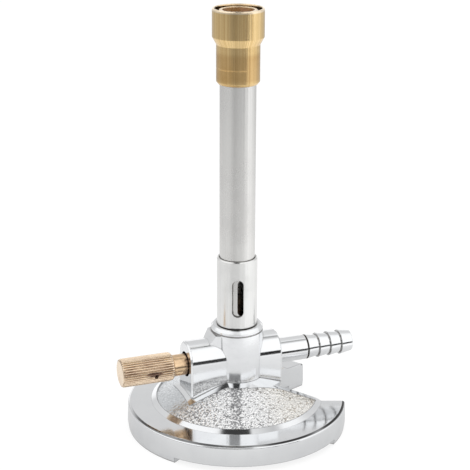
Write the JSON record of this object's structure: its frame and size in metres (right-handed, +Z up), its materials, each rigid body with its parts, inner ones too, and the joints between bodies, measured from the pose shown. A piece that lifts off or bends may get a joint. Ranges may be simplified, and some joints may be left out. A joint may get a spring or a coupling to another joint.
{
  "type": "bunsen burner",
  "caption": "Laboratory gas burner: notched round foot, valve body with knurled needle valve and ridged hose inlet, steel tube with turning air sleeve, brass flame-retention head.",
  "frame": {"origin": "on the burner tube's axis, in the plane of the three feet", "axes": "+Z up along the tube, +X along the hose inlet, the gas knob on -X, the front on -Y"},
  "size_m": [0.0914, 0.0824, 0.1573],
  "materials": {
    "cast_chrome": "bright plated casting, pebbled field on the dome",
    "bright_chrome": "polished plate",
    "tube_steel": "satin drawn tube",
    "sleeve_steel": "bright satin",
    "fastener_steel": "plain zinc-plated steel",
    "knob_brass": "knurled, slightly aged",
    "valve_brass": "turned",
    "head_brass": "satin turned",
    "seal_rubber": "matt",
    "fibre": "vulcanised fibre"
  },
  "bodies": {
    "stand": {"base": "cast_chrome", "base_screws": "fastener_steel", "lock_washers": "fastener_steel", "valve_body": "bright_chrome", "valve_seat": "valve_brass", "hose_inlet": "bright_chrome", "inlet_seal": "seal_rubber", "gas_jet": "valve_brass", "jet_washer": "fibre", "burner_tube": "tube_steel", "sleeve_ring": "fastener_steel", "flame_head": "head_brass", "flame_ring": "head_brass"},
    "collar": {"air_sleeve": "sleeve_steel"},
    "stem_travel": {"stem_seals": "seal_rubber"},
    "gas_knob": {"valve_stem": "valve_brass", "stop_clip": "fastener_steel", "knob": "knob_brass", "knob_pin": "fastener_steel"}
  },
  "joints": [
    {"name": "air_sleeve_turn", "type": "hinge", "parent": "stand", "child": "collar", "pos_m": [0, 0, 0.0532], "axis": [0, 0, 1], "continuous": true},
    {"name": "knob_turn", "type": "hinge", "parent": "stem_travel", "child": "gas_knob", "pos_m": [-0.03, 0, 0.0263], "axis": [-1, 0, 0], "range_deg": [0, 1080]},
    {"name": "needle_travel", "type": "slide", "parent": "stand", "child": "stem_travel", "axis": [-1, 0, 0], "range_m": [0, 0.0025]}
  ],
  "couplings": [
    {"joint": "needle_travel", "follows": "knob_turn", "m_per_rad": 0.00012732}
  ]
}
